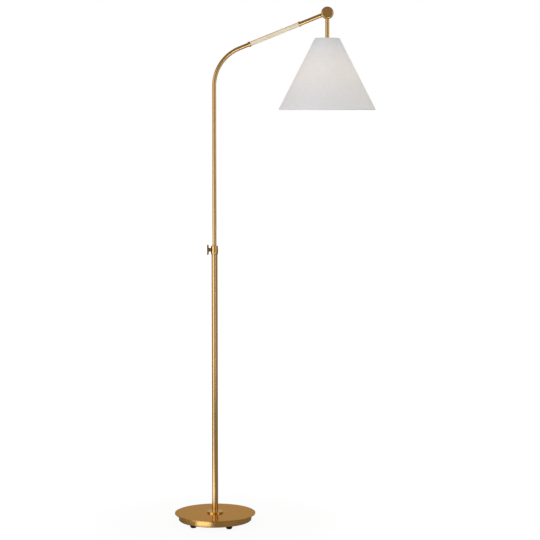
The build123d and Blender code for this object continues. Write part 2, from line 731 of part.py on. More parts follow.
def socket_liner():
    """The fibre sleeve between the shell and the live parts."""
    sleeve = ring(LINER_R, LINER_R - LINER_WALL, SHELL_BOTTOM + 0.5, CAP_SKIRT_BOTTOM + 2.0)
    return at_hinge(sleeve - switch_bore(SWITCH_SHAFT_R + SWITCH_HOLE_GAP))


def switch_block():
    """The moulded block with the switch's works and the lead's terminals."""
    top = CAP_SKIRT_BOTTOM + 1.0
    block = disc(BLOCK_R, BLOCK_BOTTOM, top)
    place_x, place_y = TERMINAL_PLACE
    for side in (-1, 1):
        block += Pos(side * place_x, place_y, 0) * disc(TERMINAL_R, top, top + 2.0)
    return at_hinge(block - switch_bore(SWITCH_SHAFT_R + RUNNING))


def screw_shell():
    """The threaded metal cup that the bulb screws into."""
    cup = disc(SCREW_SHELL_R, SHELL_BOTTOM + 1.0, SCREW_SHELL_TOP)
    hollow = disc(SCREW_SHELL_R - SCREW_SHELL_WALL, SHELL_BOTTOM, SCREW_SHELL_TOP - SCREW_SHELL_WALL)
    return at_hinge(cup - hollow - disc(CONTACT_HOLE_R, SHELL_BOTTOM, BLOCK_BOTTOM))


def centre_contact():
    """The sprung centre contact above the bulb."""
    outline = [
        (0, BLOCK_BOTTOM),
        (CONTACT_R, BLOCK_BOTTOM),
        (CONTACT_R, BLOCK_BOTTOM - 0.7),
        (1.5, BLOCK_BOTTOM - 1.9),
        (0, BLOCK_BOTTOM - 1.9),
    ]
    return at_hinge(turned(outline))


def switch_knob():
    """The turn key on the socket's side, with its shaft."""
    shaft = disc(SWITCH_SHAFT_R, 2.0, 20.0)
    hub = disc(SWITCH_HUB_R, 18.0, 24.0)
    paddle = Pos(0, 0, 28.5) * Box(*PADDLE_SIZE)
    paddle = fillet(paddle.edges().filter_by(Axis.Z), PADDLE_CORNER)
    paddle = fillet(paddle.faces().sort_by(Axis.Z)[-1].edges(), PADDLE_EDGE)
    return at_hinge(Pos(0, 0, SWITCH_Z) * Rot(90, 0, 0) * (shaft + hub + paddle))


def bulb_cap():
    """The bulb's metal screw cap with its insulator and centre tip."""
    first_root = SHELL_BOTTOM + 1.6
    outline = [(0, SHELL_BOTTOM + 0.4), (BULB_NECK_R, SHELL_BOTTOM + 0.4)]
    for turn in range(THREAD_TURNS):
        low = first_root + turn * THREAD_PITCH
        outline += [(THREAD_ROOT_R, low), (THREAD_CREST_R, low + THREAD_PITCH / 2)]
    outline += [
        (THREAD_ROOT_R, first_root + THREAD_TURNS * THREAD_PITCH),
        (4.6, BULB_CAP_TOP),
        (2.2, BULB_CAP_TOP + 1.4),
        (0, BULB_CAP_TOP + 1.4),
    ]
    return at_hinge(turned(outline))


def bulb_outline(inset):
    """The globe's outline in the XZ plane from neck to tip, drawn in by a wall thickness."""
    shoulder_angle = math.radians(BULB_SHOULDER_ANGLE)
    radius = BULB_R - inset
    shoulder_z = BULB_CENTRE_Z + radius * math.sin(shoulder_angle)
    shoulder = (radius * math.cos(shoulder_angle), 0, shoulder_z)
    neck = (BULB_NECK_R - inset, 0, SHELL_BOTTOM + 0.4)
    along = (math.sin(shoulder_angle), 0, -math.cos(shoulder_angle))
    flank = Spline(neck, shoulder, tangents=[(0, 0, -1), along])
    side_angle = (shoulder_angle - math.pi / 2) / 2
    side = (radius * math.cos(side_angle), 0, BULB_CENTRE_Z + radius * math.sin(side_angle))
    tip = (0, 0, BULB_CENTRE_Z - radius)
    return neck, flank, ThreePointArc(shoulder, side, tip), tip


def bulb_glass():
    """The bulb's hollow frosted globe."""
    neck, flank, globe, tip = bulb_outline(0)
    inner_neck, inner_flank, inner_globe, inner_tip = bulb_outline(BULB_WALL)
    outline = flank + globe + Line(tip, inner_tip)
    outline += inner_globe + inner_flank + Line(inner_neck, neck)
    return at_hinge(revolve(make_face(outline), Axis.Z))


PIECES = {
    "base_plate": base_plate,
    "base_drum": base_drum,
    "base_weight": base_weight,
    "bottom_cover": bottom_cover,
    "cover_screws": cover_screws,
    "rubber_feet": rubber_feet,
    "foot_screws": foot_screws,
    "cord_bush": cord_bush,
    "base_flange": base_flange,
    "base_nipple": nipple,
    "base_washer": base_washer,
    "base_nut": base_nut,
    "pole_foot_plug": pole_foot_plug,
    "lower_pole": lower_pole,
    "pole_lead": pole_lead,
    "height_collar": height_collar,
    "collar_bush": collar_bush,
    "clamp_pad": clamp_pad,
    "clamp_screw": clamp_screw,
    "clamp_knob": clamp_knob,
    "guide_bush": guide_bush,
    "guide_clips": guide_clips,
    "mast_tube": mast_tube,
    "lead_bush": lead_bush,
    "mast_lead": mast_lead,
    "lower_ferrule": lambda: ferrule(*LOWER_FERRULE),
    "upper_ferrule": lambda: ferrule(*UPPER_FERRULE),
    "leather_sleeve": leather_sleeve,
    "knuckle_rear": knuckle_rear,
    "knuckle_front": knuckle_front,
    "friction_washer": friction_washer,
    "spring_washer": spring_washer,
    "hinge_screw": hinge_screw,
    "hinge_cap": hinge_cap,
    "stem_tube": stem_tube,
    "stem_nipple": stem_nipple,
    "stem_lead": stem_lead,
    "shade_spider": shade_spider,
    "spider_nut": spider_nut,
    "shade_top_ring": lambda: at_hinge(wire_ring(TOP_RING_Z, WIRE_R)),
    "shade_bottom_ring": lambda: at_hinge(wire_ring(BOTTOM_RING_Z, WIRE_R)),
    "shade_cover": shade_cover,
    "socket_cap": socket_cap,
    "socket_shell": socket_shell,
    "socket_liner": socket_liner,
    "switch_block": switch_block,
    "screw_shell": screw_shell,
    "centre_contact": centre_contact,
    "switch_knob": switch_knob,
    "bulb_cap": bulb_cap,
    "bulb_glass": bulb_glass,
}

os.makedirs("parts", exist_ok=True)
for name, make in PIECES.items():
    export_step(make(), f"parts/{name}.step")
print(f"hinge centre at X {HINGE_X:.2f}, Z {HINGE_Z:.2f}; mast foot at Z {MAST_FOOT_Z:.2f}")
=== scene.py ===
# %% [markdown]
# # Adjustable arm floor lamp
# The lamp stands on a round brass base. A tube slides in its pole, bends and runs on as a slanting arm, and
# a conical linen shade hangs from a hinge disc at the arm's end. The CAD model is the fixed frame: it says
# where everything is. Most of its metal parts have the right shape, so they only get finishes here. The
# cloth, the leather and the long bent tube are made again as surfaces that carry their own pattern.

import json
import math

import bpy
import numpy as np
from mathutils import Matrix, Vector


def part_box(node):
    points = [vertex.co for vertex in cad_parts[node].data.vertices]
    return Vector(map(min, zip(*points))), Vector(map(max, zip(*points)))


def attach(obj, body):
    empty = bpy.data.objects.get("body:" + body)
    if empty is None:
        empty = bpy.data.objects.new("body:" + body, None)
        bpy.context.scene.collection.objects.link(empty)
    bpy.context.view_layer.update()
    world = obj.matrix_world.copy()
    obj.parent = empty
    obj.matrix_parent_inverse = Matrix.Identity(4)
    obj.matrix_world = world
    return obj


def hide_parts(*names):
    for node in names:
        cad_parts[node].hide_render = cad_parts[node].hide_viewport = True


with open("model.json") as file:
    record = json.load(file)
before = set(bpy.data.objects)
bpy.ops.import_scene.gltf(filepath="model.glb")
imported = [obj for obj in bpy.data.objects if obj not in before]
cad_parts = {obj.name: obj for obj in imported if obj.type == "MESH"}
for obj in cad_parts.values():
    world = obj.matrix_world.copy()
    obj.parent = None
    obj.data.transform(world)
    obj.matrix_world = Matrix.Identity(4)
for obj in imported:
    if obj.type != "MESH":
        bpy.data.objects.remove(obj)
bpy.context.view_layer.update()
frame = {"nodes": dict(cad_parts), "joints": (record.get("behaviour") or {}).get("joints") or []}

# %% [markdown]
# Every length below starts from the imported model, so a piece lands where the CAD says. The hinge of the
# head and the clamp give their places through the joints, and the tube's foot and the shade's height come
# from the boxes of their nodes. Only the bend of the tube and the sections of the shade and the sleeve are
# stated again, because a box can't tell them.

# %% Places on the lamp
MM = 0.001
ARM_ANGLE = math.radians(21.8)
ARM_LENGTH = 0.380
joint_of = {joint["name"]: joint for joint in frame["joints"]}
HINGE = np.array(joint_of["head_tilt"]["pos_m"])
CLAMP = np.array(joint_of["clamp_turn"]["pos_m"])
CORNER_Z = HINGE[2] - ARM_LENGTH * math.sin(ARM_ANGLE)
print("hinge", HINGE.round(4), "corner height", round(CORNER_Z, 4))

# %% [markdown]
# ## Camera
# A long lens from more than five metres away keeps the lamp's uprights nearly parallel, the way such a tall
# thin thing is usually shown. The eye is above the middle, so that the base shows as a flat ellipse and the
# shade's lower rim as a straight line.

# %% Camera
EYE = (0.1745, -5.592, 1.3108)
DOWNWARD_DEGREES = 4.623
camera_data = bpy.data.cameras.new("camera")
camera_data.sensor_width = 36.0
camera_data.lens = 118.9
camera_data.shift_y = -0.03
camera = bpy.data.objects.new("camera", camera_data)
camera.location = EYE
camera.rotation_euler = (math.radians(90 - DOWNWARD_DEGREES), 0, 0)
bpy.context.scene.collection.objects.link(camera)
bpy.context.scene.camera = camera
bpy.context.scene.view_settings.view_transform = "Standard"
print("camera", tuple(camera.location))

# %% [markdown]
# ## Node helpers
# A finish is a small graph of nodes. One function adds a node with its settings and its links, and one
# turns a screen colour such as #d9d9d7 into the linear numbers that Blender computes light with: each
# channel is divided by 1.055 after adding 0.055 and raised to the power 2.4, or divided by 12.92 near
# black.

# %% Helpers for colours and nodes
def linear(hex_colour):
    """Linear RGBA of an sRGB hex colour: ((c + 0.055) / 1.055) to the power 2.4, or c / 12.92 near black."""
    channels = np.array([int(hex_colour[i:i + 2], 16) for i in (1, 3, 5)]) / 255
    straight = np.where(channels > 0.04045, ((channels + 0.055) / 1.055) ** 2.4, channels / 12.92)
    return (*straight.tolist(), 1.0)


def add_node(tree, kind, settings=(), links=()):
    """Add one node: settings are its properties or its sockets' values, links join its sockets to outputs."""
    node = tree.nodes.new(kind)
    for name, value in dict(settings).items():
        if isinstance(name, int) or name in node.inputs:
            node.inputs[name].default_value = value
        else:
            setattr(node, name, value)
    for name, output in dict(links).items():
        tree.links.new(output, node.inputs[name])
    return node


def new_material(name, settings):
    """An empty material with one Principled shader, whose sockets take the settings."""
    material = bpy.data.materials.new(name)
    material.use_nodes = True
    tree = material.node_tree
    tree.nodes.clear()
    shader = add_node(tree, "ShaderNodeBsdfPrincipled", settings)
    add_node(tree, "ShaderNodeOutputMaterial", links={"Surface": shader.outputs[0]})
    return material, tree, shader


print("white is", linear("#ffffff"))

# %% [markdown]
# ## Studio
# Polished brass has hardly any colour of its own: what it shows is the room. A studio lights tubes with
# tall soft boxes, which run down them as straight bright lines, and leaves a gap between the boxes, which
# runs down as the dark line that makes a tube look round. Nothing bright hangs overhead, so the arm's top
# stays dark.
#
# The world holds three rooms, and the kind of ray picks one. The camera sees plain white. A matt surface
# gathers its light by diffuse rays, and they find an even bright room, so cloth and leather are lit
# smoothly. Every other ray, such as a reflection in brass, finds a warm grey room that is darker overhead,
# behind the camera and at both sides.

# %% World: three rooms in one
ROOM_SIDE, ROOM_TOP = 0.54, 0.26
ROOM_FRONT, ROOM_ASIDE = 0.55, 0.55
CLOTH_ROOM = 0.73
world = bpy.data.worlds.new("studio")
bpy.context.scene.world = world
world.use_nodes = True
# The rooms differ from ray to ray, so the world isn't sampled like a lamp: a ray that leaves finds its own.
world.cycles.sampling_method = "NONE"
room = world.node_tree
room.nodes.clear()
looking = add_node(room, "ShaderNodeTexCoord")
direction = add_node(room, "ShaderNodeSeparateXYZ", links={0: looking.outputs["Generated"]})
room_level = add_node(room, "ShaderNodeMapRange",
                      {"interpolation_type": "SMOOTHSTEP", "From Min": 0.15, "From Max": 0.75,
                       "To Min": ROOM_SIDE, "To Max": ROOM_TOP}, {"Value": direction.outputs["Z"]})
front_share = add_node(room, "ShaderNodeMapRange",
                       {"interpolation_type": "SMOOTHSTEP", "From Min": -0.96, "From Max": -0.72,
                        "To Min": ROOM_FRONT, "To Max": 1.0}, {"Value": direction.outputs["Y"]})
aside = add_node(room, "ShaderNodeMath", {"operation": "ABSOLUTE"}, {0: direction.outputs["X"]})
side_share = add_node(room, "ShaderNodeMapRange",
                      {"interpolation_type": "SMOOTHSTEP", "From Min": 0.70, "From Max": 0.92,
                       "To Min": 1.0, "To Max": ROOM_ASIDE}, {"Value": aside.outputs[0]})
front_level = add_node(room, "ShaderNodeMath", {"operation": "MULTIPLY"},
                       {0: room_level.outputs[0], 1: front_share.outputs[0]})
room_strength = add_node(room, "ShaderNodeMath", {"operation": "MULTIPLY"},
                         {0: front_level.outputs[0], 1: side_share.outputs[0]})
room_light = add_node(room, "ShaderNodeBackground", {"Color": linear("#fff3e2")},
                      {"Strength": room_strength.outputs[0]})
cloth_room = add_node(room, "ShaderNodeBackground", {"Color": linear("#fbfbf9"), "Strength": CLOTH_ROOM})
white_ground = add_node(room, "ShaderNodeBackground", {"Color": (1, 1, 1, 1), "Strength": 1.0})
ray = add_node(room, "ShaderNodeLightPath")
lit = add_node(room, "ShaderNodeMixShader", links={
    0: ray.outputs["Is Diffuse Ray"], 1: room_light.outputs[0], 2: cloth_room.outputs[0]})
seen = add_node(room, "ShaderNodeMixShader", links={
    0: ray.outputs["Is Camera Ray"], 1: lit.outputs[0], 2: white_ground.outputs[0]})
add_node(room, "ShaderNodeOutputWorld", links={"Surface": seen.outputs[0]})
print("world of", len(room.nodes), "nodes")

# %% [markdown]
# A soft box is an area light. A box of area A that gives the power P looks 4 times A times less bright than
# P, so a wanted brightness is turned into watts the other way round. Each box is named by the part of the
# circle that it fills as the pole sees it, in degrees from the camera's side, with the left side negative.

# %% Soft boxes
BOX_DISTANCE = 2.5
COOL = "#e8edff"


def area_light(name, place, turn, width, height, brightness, colour=COOL):
    """A rectangular area light that the camera doesn't see; power is 4 times area times brightness."""
    light = bpy.data.lights.new(name, "AREA")
    light.shape = "RECTANGLE"
    light.size = width
    light.size_y = height
    light.color = linear(colour)[:3]
    light.energy = 4 * width * height * brightness
    lamp = bpy.data.objects.new(name, light)
    lamp.location = place
    lamp.rotation_euler = turn
    lamp.visible_camera = False
    bpy.context.scene.collection.objects.link(lamp)
    print(f"{name}: {width:.2f} by {height:.2f} m, {light.energy:.0f} W")
    return lamp


def soft_box(name, from_angle, to_angle, low, high, brightness, colour=COOL):
    """Stand a soft box on a circle round the pole, wide enough to fill the angles, facing inwards.

    Width is twice the distance times the tangent of half the angle between its edges.
    """
    middle = math.radians((from_angle + to_angle) / 2)
    width = 2 * BOX_DISTANCE * math.tan(math.radians(to_angle - from_angle) / 2)
    place = (BOX_DISTANCE * math.sin(middle), -BOX_DISTANCE * math.cos(middle), (low + high) / 2)
    return area_light(name, place, (math.radians(90), 0, middle), width, high - low, brightness, colour)


soft_box("key_box_low", -72, -33, low=0.02, high=1.00, brightness=1.50)
soft_box("fill_box", -33, -6, low=0.02, high=1.00, brightness=0.50, colour="#cfdfff")
soft_box("key_box_high", -95, -28, low=1.00, high=2.30, brightness=0.72)
soft_box("rim_box", 36, 60, low=0.05, high=2.30, brightness=0.62)
soft_box("edge_box", 78, 125, low=1.00, high=2.30, brightness=0.45)

# %% [markdown]
# The lowest parts look down at the floor instead of into the boxes. A long bright card lies there on the
# left box's side, and a second one, smaller than a hand, lies close to the base and puts the bright patch
# on its side wall. A low light in front, on the arm's side, looks up at the arm. Its narrow spread keeps it
# off the base.

# %% Floor cards and arm light
FACING_UP = math.pi
CARD_ANGLE = math.radians(-52)
CARD_REACH = 1.32
card_place = (CARD_REACH * math.sin(CARD_ANGLE), -CARD_REACH * math.cos(CARD_ANGLE), 0.004)
area_light("floor_card", card_place, (FACING_UP, 0, CARD_ANGLE), width=0.70, height=2.10, brightness=1.4)
area_light("near_card", (-0.080, -0.184, 0.003), (FACING_UP, 0, math.radians(-28)),
           width=0.110, height=0.080, brightness=2.1)
arm_light = area_light("arm_light", (0.75, -2.20, 0.06), (math.radians(125), 0, math.radians(14)),
                       width=1.1, height=1.0, brightness=0.55)
arm_light.data.spread = math.radians(60)

# %% [markdown]
# The floor is plain and white. To the camera it gives most of its white by itself and takes the lamp's soft
# contact shadow on the rest. Its own share grows with the distance from the pole, so the shadow fades out.
# Every other ray meets a matt grey surface. From below the floor is clear, so that the feet and the inside
# of the shade can be looked at.

# %% Floor
FLOOR_HALF = 14.0
OWN_STRENGTH = 1.14
NEAR, FAR, NEAR_SHARE = 0.3, 1.6, 0.82
corners = [(-FLOOR_HALF, -FLOOR_HALF, 0), (FLOOR_HALF, -FLOOR_HALF, 0), (FLOOR_HALF, FLOOR_HALF, 0),
           (-FLOOR_HALF, FLOOR_HALF, 0)]
floor_mesh = bpy.data.meshes.new("floor")
floor_mesh.from_pydata(corners, [], [(0, 1, 2, 3)])
floor = bpy.data.objects.new("floor", floor_mesh)
bpy.context.scene.collection.objects.link(floor)
matt_floor, tree, shader = new_material("matt_white_floor",
                                        {"Base Color": linear("#9a9894"), "Roughness": 0.9})
own_light = add_node(tree, "ShaderNodeEmission", {"Color": (1, 1, 1, 1), "Strength": OWN_STRENGTH})
path = add_node(tree, "ShaderNodeLightPath")
spot = add_node(tree, "ShaderNodeTexCoord")
away = add_node(tree, "ShaderNodeVectorMath", {"operation": "LENGTH"}, {0: spot.outputs["Object"]})
whiter = add_node(tree, "ShaderNodeMapRange",
                  {"From Min": NEAR, "From Max": FAR, "To Min": NEAR_SHARE, "To Max": 1.0},
                  {"Value": away.outputs["Value"]})
white_share = add_node(tree, "ShaderNodeMath", {"operation": "MULTIPLY"},
                       {0: path.outputs["Is Camera Ray"], 1: whiter.outputs[0]})
mixed = add_node(tree, "ShaderNodeMixShader", links={
    0: white_share.outputs[0], 1: shader.outputs[0], 2: own_light.outputs[0]})
face = add_node(tree, "ShaderNodeNewGeometry")
clear = add_node(tree, "ShaderNodeBsdfTransparent")
one_way = add_node(tree, "ShaderNodeMixShader", links={
    0: face.outputs["Backfacing"], 1: mixed.outputs[0], 2: clear.outputs[0]})
tree.links.new(one_way.outputs[0], tree.nodes["Material Output"].inputs["Surface"])
floor_mesh.materials.append(matt_floor)
print("floor", 2 * FLOOR_HALF, "m wide")

# %% [markdown]
# ## Brass
# Every metal part that shows is brass: drawn tube, spun sheet and turned bar, brushed or polished and then
# lacquered. Brass is a metal, so its colour is in its reflection, and it pales towards the edges of a round
# part, which the edge tint sets. The lacquer is a thin clear coat that adds a white glint of its own. What
# tells the parts apart is the direction of the tool marks. Drawn tube is brushed along its length, and spun
# or turned parts have rings round their own axis. The knob's brass is a darker copy, which is painted shade,
# and the flange's is a paler one, which is a painted highlight.
#
# A pattern in the shader could be an image, but a formula never runs out of detail. Noise that is stretched
# a long way in one direction makes brush marks, and noise that reads only the distance from an axis and the
# place along it makes rings. The Mapping node, set to Texture, centres the pattern on the part, turns it
# and sets its real size.

# %% Brass finishes
LACQUER = {"Coat Weight": 0.12, "Coat Roughness": 0.10, "Coat IOR": 1.49}
EDGE_TINT = "#fdf3e2"
PLAIN_BRASS = ("#d6ab69", "#dfb678")
WARM_BRASS = ("#d29f55", "#dfb064")
# The knob's brass is painted darker than the rest: painted shade.
KNOB_BRASS_SHADED = ("#8f6a2c", "#a67c38")
# The flange's brass is painted paler than the rest: a painted highlight.
FLANGE_BRASS_PALED = ("#d2ad6c", "#e6c98f")


def brass_marks(tree, shader, marks, smudges, roughness, spread, depth, colours):
    """Give a brass shader its marks, which shade colour, roughness and height, and smudges that dull it."""
    tone = add_node(tree, "ShaderNodeMapRange", {"From Min": 0.25, "From Max": 0.75}, {"Value": marks})
    colour = add_node(tree, "ShaderNodeMix",
                      {"data_type": "RGBA", 6: linear(colours[0]), 7: linear(colours[1])},
                      {0: tone.outputs[0]})
    rough = add_node(tree, "ShaderNodeMapRange",
                     {"From Min": 0.2, "From Max": 0.8, "To Min": roughness, "To Max": roughness + spread},
                     {"Value": marks})
    worn = add_node(tree, "ShaderNodeMapRange",
                    {"From Min": 0.45, "From Max": 0.8, "To Min": 0.0, "To Max": 0.04}, {"Value": smudges})
    total = add_node(tree, "ShaderNodeMath", {"operation": "ADD"}, {0: rough.outputs[0], 1: worn.outputs[0]})
    bump = add_node(tree, "ShaderNodeBump", {"Strength": 0.35, "Distance": depth}, {"Height": marks})
    tree.links.new(colour.outputs[2], shader.inputs["Base Color"])
    tree.links.new(total.outputs[0], shader.inputs["Roughness"])
    tree.links.new(bump.outputs[0], shader.inputs["Normal"])


def brushed_brass(name, attribute=None):
    """Tube brushed along its length: long noise cells, on Object places or on a straightened tube's."""
    material, tree, shader = new_material(
        name, {"Metallic": 1.0, **LACQUER, "Specular Tint": linear(EDGE_TINT)})
    if attribute:
        place = add_node(tree, "ShaderNodeAttribute", {"attribute_name": attribute}).outputs["Vector"]
    else:
        place = add_node(tree, "ShaderNodeTexCoord").outputs["Object"]
    # Real brush marks are about 0.1 mm wide: these are 2.4 mm wide and 260 mm long, so that they show.
    stretched = add_node(tree, "ShaderNodeMapping",
                         {"vector_type": "TEXTURE", "Scale": (2.4 * MM, 2.4 * MM, 260 * MM)},
                         {"Vector": place})
    marks = add_node(tree, "ShaderNodeTexNoise", {"Scale": 1.0, "Detail": 1.0},
                     {"Vector": stretched.outputs[0]})
    hands = add_node(tree, "ShaderNodeTexNoise", {"Scale": 22.0, "Detail": 2.0}, {"Vector": place})
    brass_marks(tree, shader, marks.outputs[0], hands.outputs[0], roughness=0.17, spread=0.02,
                depth=0.0003 * MM, colours=PLAIN_BRASS)
    return material


def turned_brass(name, centre=(0, 0, 0), turn=(0, 0, 0), ring_mm=0.5, roughness=0.12, spread=0.04,
                 depth=0.004, colours=PLAIN_BRASS, edge_tint=EDGE_TINT):
    """Turned or spun metal: noise of the distance from the turning axis and the place along it.

    centre is a point of the axis, turn is the rotation that brings the Z axis onto it, and ring_mm is the
    size of a noise cell. Real tool rings are 0.1 to 0.3 mm apart: ring_mm is coarser, so that they show.
    """
    material, tree, shader = new_material(
        name, {"Metallic": 1.0, **LACQUER, "Specular Tint": linear(edge_tint)})
    place = add_node(tree, "ShaderNodeTexCoord")
    own = add_node(tree, "ShaderNodeMapping",
                   {"vector_type": "TEXTURE", "Location": tuple(centre), "Rotation": turn,
                    "Scale": (ring_mm * MM,) * 3}, {"Vector": place.outputs["Object"]})
    split = add_node(tree, "ShaderNodeSeparateXYZ", links={0: own.outputs[0]})
    across = add_node(tree, "ShaderNodeCombineXYZ", links={0: split.outputs[0], 1: split.outputs[1]})
    radius = add_node(tree, "ShaderNodeVectorMath", {"operation": "LENGTH"}, {0: across.outputs[0]})
    ring = add_node(tree, "ShaderNodeCombineXYZ", links={0: radius.outputs["Value"], 1: split.outputs[2]})
    marks = add_node(tree, "ShaderNodeTexNoise", {"noise_dimensions": "2D", "Scale": 1.0, "Detail": 3.0},
                     {"Vector": ring.outputs[0]})
    hands = add_node(tree, "ShaderNodeTexNoise", {"Scale": 22.0, "Detail": 2.0},
                     {"Vector": place.outputs["Object"]})
    brass_marks(tree, shader, marks.outputs[0], hands.outputs[0], roughness, spread, depth * MM, colours)
    return material


ALONG_X = (0, math.radians(90), 0)
ALONG_Y = (math.radians(90), 0, 0)
ALONG_ARM = (0, math.pi / 2 - ARM_ANGLE, 0)
FERRULE_AXIS = (0, 0, CORNER_Z)
pole_brass = brushed_brass("brass_tube_brushed")
mast_brass = brushed_brass("brass_tube_brushed_and_bent", attribute="straight")
base_brass = turned_brass("brass_sheet_spun", ring_mm=1.6, roughness=0.13, colours=WARM_BRASS,
                          edge_tint="#f6e0b8")
drum_brass = turned_brass("brass_wall_turned", ring_mm=2.4, roughness=0.21, spread=0.10, depth=0.02,
                          colours=WARM_BRASS)
flange_brass = turned_brass("brass_turned_flange", ring_mm=0.7, roughness=0.07, colours=FLANGE_BRASS_PALED)
column_brass = turned_brass("brass_turned_on_pole", ring_mm=0.7, roughness=0.10)
knob_brass = turned_brass("brass_turned_knob", CLAMP, ALONG_X, ring_mm=0.7, colours=KNOB_BRASS_SHADED)
disc_brass = turned_brass("brass_turned_disc", HINGE, ALONG_Y, ring_mm=0.9, roughness=0.20)
ferrule_brass = turned_brass("brass_turned_ferrule", FERRULE_AXIS, ALONG_ARM, ring_mm=0.7, roughness=0.10)
socket_brass = turned_brass("brass_pressed_socket", HINGE, ring_mm=0.8, roughness=0.22)
plain_brass = turned_brass("brass_turned_plain", HINGE, ring_mm=0.6, roughness=0.26)
print("brass finishes made")

# %% [markdown]
# ## Steel, iron and aluminium
# The hidden fasteners are zinc plated steel, which is a cool grey with a faint cloudy sheen. The spring
# rings are darker oiled steel, the weight is cast iron under black paint with a sandy skin, and the bulb's
# cap is rolled aluminium.

# %% Other metals
def cloudy_metal(name, colour, other, roughness, cell_mm, depth_mm, metallic=1.0):
    """Metal or paint whose colour drifts between two tones in cells of cell_mm, with a skin depth_mm high."""
    material, tree, shader = new_material(name, {"Metallic": metallic})
    place = add_node(tree, "ShaderNodeTexCoord")
    clouds = add_node(tree, "ShaderNodeTexNoise", {"Scale": 1 / (cell_mm * MM), "Detail": 4.0},
                      {"Vector": place.outputs["Object"]})
    tone = add_node(tree, "ShaderNodeMix", {"data_type": "RGBA", 6: linear(colour), 7: linear(other)},
                    {0: clouds.outputs[0]})
    rough = add_node(tree, "ShaderNodeMapRange",
                     {"From Min": 0.3, "From Max": 0.7, "To Min": roughness - 0.06,
                      "To Max": roughness + 0.08}, {"Value": clouds.outputs[0]})
    bump = add_node(tree, "ShaderNodeBump", {"Strength": 0.7, "Distance": depth_mm * MM},
                    {"Height": clouds.outputs[0]})
    tree.links.new(tone.outputs[2], shader.inputs["Base Color"])
    tree.links.new(rough.outputs[0], shader.inputs["Roughness"])
    tree.links.new(bump.outputs[0], shader.inputs["Normal"])
    return material


zinc = cloudy_metal("steel_zinc_plated", "#b9bcbd", "#d3d2cb", 0.32, 3.0, 0.01)
oiled = cloudy_metal("spring_steel_oiled", "#4a4a4e", "#6b6a6c", 0.30, 2.0, 0.01)
iron = cloudy_metal("cast_iron_painted", "#151515", "#242322", 0.55, 1.6, 0.35, metallic=0.0)
aluminium = cloudy_metal("aluminium_rolled", "#c8c8c6", "#dddddb", 0.30, 1.2, 0.01)
print("other metals made")

# %% [markdown]
# ## Plastics, rubber and fibre
# Moulded parts have no metal in them, so their colour is under the surface and only a few percent of the
# light glints off it. A fine skin from the mould keeps them from looking like glass. Pressed fibre is
# paper, so its noise is stretched along the sheet.

# %% Moulded and pressed materials
def moulded(name, colour, other, roughness, grain_mm, depth_mm, stretch=(1, 1, 1), more=()):
    """A non-metal whose skin is noise in cells of grain_mm, longer by stretch along each axis."""
    material, tree, shader = new_material(
        name, {"Metallic": 0.0, "Roughness": roughness, "IOR": 1.5, **dict(more)})
    place = add_node(tree, "ShaderNodeTexCoord")
    sized = add_node(tree, "ShaderNodeMapping",
                     {"vector_type": "TEXTURE", "Scale": tuple(grain_mm * MM * s for s in stretch)},
                     {"Vector": place.outputs["Object"]})
    grain = add_node(tree, "ShaderNodeTexNoise", {"Scale": 1.0, "Detail": 3.0}, {"Vector": sized.outputs[0]})
    dust = add_node(tree, "ShaderNodeTexNoise", {"Scale": 45.0, "Detail": 3.0},
                    {"Vector": place.outputs["Object"]})
    share = add_node(tree, "ShaderNodeMath", {"operation": "MULTIPLY"},
                     {0: grain.outputs[0], 1: dust.outputs[0]})
    spread = add_node(tree, "ShaderNodeMapRange", {"From Min": 0.1, "From Max": 0.45},
                      {"Value": share.outputs[0]})
    tone = add_node(tree, "ShaderNodeMix", {"data_type": "RGBA", 6: linear(colour), 7: linear(other)},
                    {0: spread.outputs[0]})
    bump = add_node(tree, "ShaderNodeBump", {"Strength": 0.6, "Distance": depth_mm * MM},
                    {"Height": grain.outputs[0]})
    tree.links.new(tone.outputs[2], shader.inputs["Base Color"])
    tree.links.new(bump.outputs[0], shader.inputs["Normal"])
    return material


rubber = moulded("rubber_moulded_black", "#101010", "#232322", 0.62, 0.5, 0.05)
nylon = moulded("nylon_moulded_natural", "#e4e0d3", "#efece3", 0.42, 0.6, 0.02)
sheath = moulded("pvc_sheath_cream", "#d8cfb8", "#e3dcc9", 0.40, 1.2, 0.03)
phenolic = moulded("phenolic_moulded_brown", "#24150e", "#3a2418", 0.28, 0.8, 0.02,
                   more={"Coat Weight": 0.2})
fibre = moulded("fibre_pressed", "#6e4a34", "#8a6146", 0.75, 0.4, 0.06, stretch=(6, 6, 1))
epoxy = moulded("epoxy_coated_wire", "#e4e3de", "#f0efeb", 0.34, 1.0, 0.03)
print("moulded materials made")

# %% [markdown]
# ## Bulb
# The bulb is soda glass with a fine white coating inside, so it looks like a soft white body with a thin
# clear gloss over it. It is switched on low: an even warm glow, which the linen round it repeats.

# %% Frosted glass
glass, tree, shader = new_material("glass_frosted_inside", {
    "Roughness": 0.32, "IOR": 1.52, "Coat Weight": 1.0, "Coat Roughness": 0.03, "Coat IOR": 1.52,
    "Emission Color": linear("#ffe3b4")})
place = add_node(tree, "ShaderNodeTexCoord")
coating = add_node(tree, "ShaderNodeTexNoise", {"Scale": 160.0, "Detail": 4.0},
                   {"Vector": place.outputs["Object"]})
tone = add_node(tree, "ShaderNodeMix", {"data_type": "RGBA", 6: linear("#efece4"), 7: linear("#fbf9f3")},
                {0: coating.outputs[0]})
glow = add_node(tree, "ShaderNodeMapRange", {"From Min": 0.3, "From Max": 0.7, "To Min": 2.6, "To Max": 3.2},
                {"Value": coating.outputs[0]})
tree.links.new(tone.outputs[2], shader.inputs["Base Color"])
tree.links.new(glow.outputs[0], shader.inputs["Emission Strength"])
print("bulb glass made")

# %% [markdown]
# ## Finishes for the CAD nodes
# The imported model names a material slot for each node. Most slots have one finish, and the brass ones also
# need to know which axis a part was turned on, so those nodes are named one by one.

